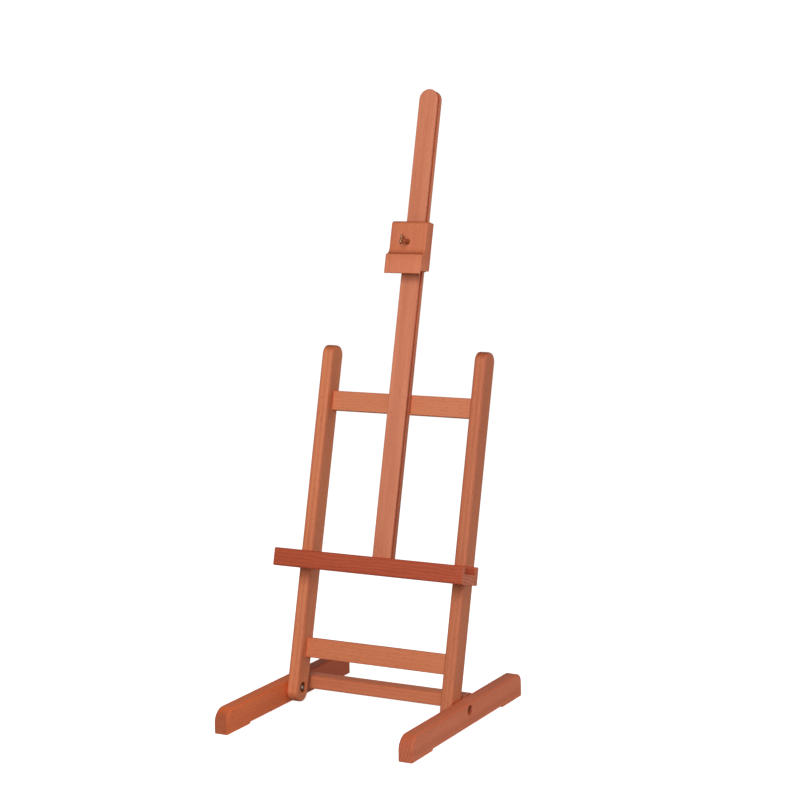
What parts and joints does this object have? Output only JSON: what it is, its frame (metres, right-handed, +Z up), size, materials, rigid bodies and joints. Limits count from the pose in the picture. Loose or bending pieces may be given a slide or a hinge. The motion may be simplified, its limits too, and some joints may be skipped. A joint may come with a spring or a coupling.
{
  "type": "artist easel",
  "caption": "Table-top H-frame artist easel in stained beech: two feet, a tilting frame, a canvas tray, and a clamp that slides on a grooved mast and locks with a wing screw.",
  "frame": {"origin": "bottom centre of the easel's overall box, on the table", "axes": "+Z up, +X across the easel to the right as seen from the front, +Y to the back, so the front faces -Y"},
  "size_m": [0.291, 0.37, 0.8317],
  "materials": {
    "frame_beech": "oiled, warm reddish beech",
    "foot_beech": "oiled, deeper reddish beech",
    "tray_beech": "oiled, red-brown beech with wavy grain",
    "dowel_beech": "raw turned beech",
    "antique_brass": "antique, dark in the hollows",
    "zinc_steel": "zinc plated"
  },
  "bodies": {
    "base": {"left_foot": "foot_beech", "right_foot": "foot_beech", "foot_brace": "foot_beech", "brace_dowels": "dowel_beech", "pivot_bolts": "zinc_steel", "pivot_washers": "antique_brass", "pivot_nuts": "antique_brass"},
    "frame": {"left_post": "frame_beech", "right_post": "frame_beech", "lower_crossbar": "frame_beech", "upper_crossbar": "frame_beech", "crossbar_dowels": "dowel_beech", "mast": "frame_beech", "tray": "tray_beech", "mast_screws": "zinc_steel", "mast_foot_screw": "zinc_steel", "tray_screws": "zinc_steel"},
    "clamp": {"canvas_clamp": "frame_beech", "clamp_insert": "antique_brass"},
    "wing_screw": {"wing_screw": "antique_brass"}
  },
  "joints": [
    {"name": "frame_tilt", "type": "hinge", "parent": "base", "child": "frame", "pos_m": [0, -0.01902, 0.0235], "axis": [1, 0, 0], "range_deg": [-24, 90]},
    {"name": "clamp_slide", "type": "slide", "parent": "frame", "child": "clamp", "axis": [0, 0.247, 0.969], "range_m": [-0.378, 0.17]},
    {"name": "wing_screw_turn", "type": "hinge", "parent": "clamp", "child": "wing_screw", "pos_m": [0, 0.10037, 0.6267], "axis": [0, -0.969, 0.247], "range_deg": [0, 450]}
  ]
}
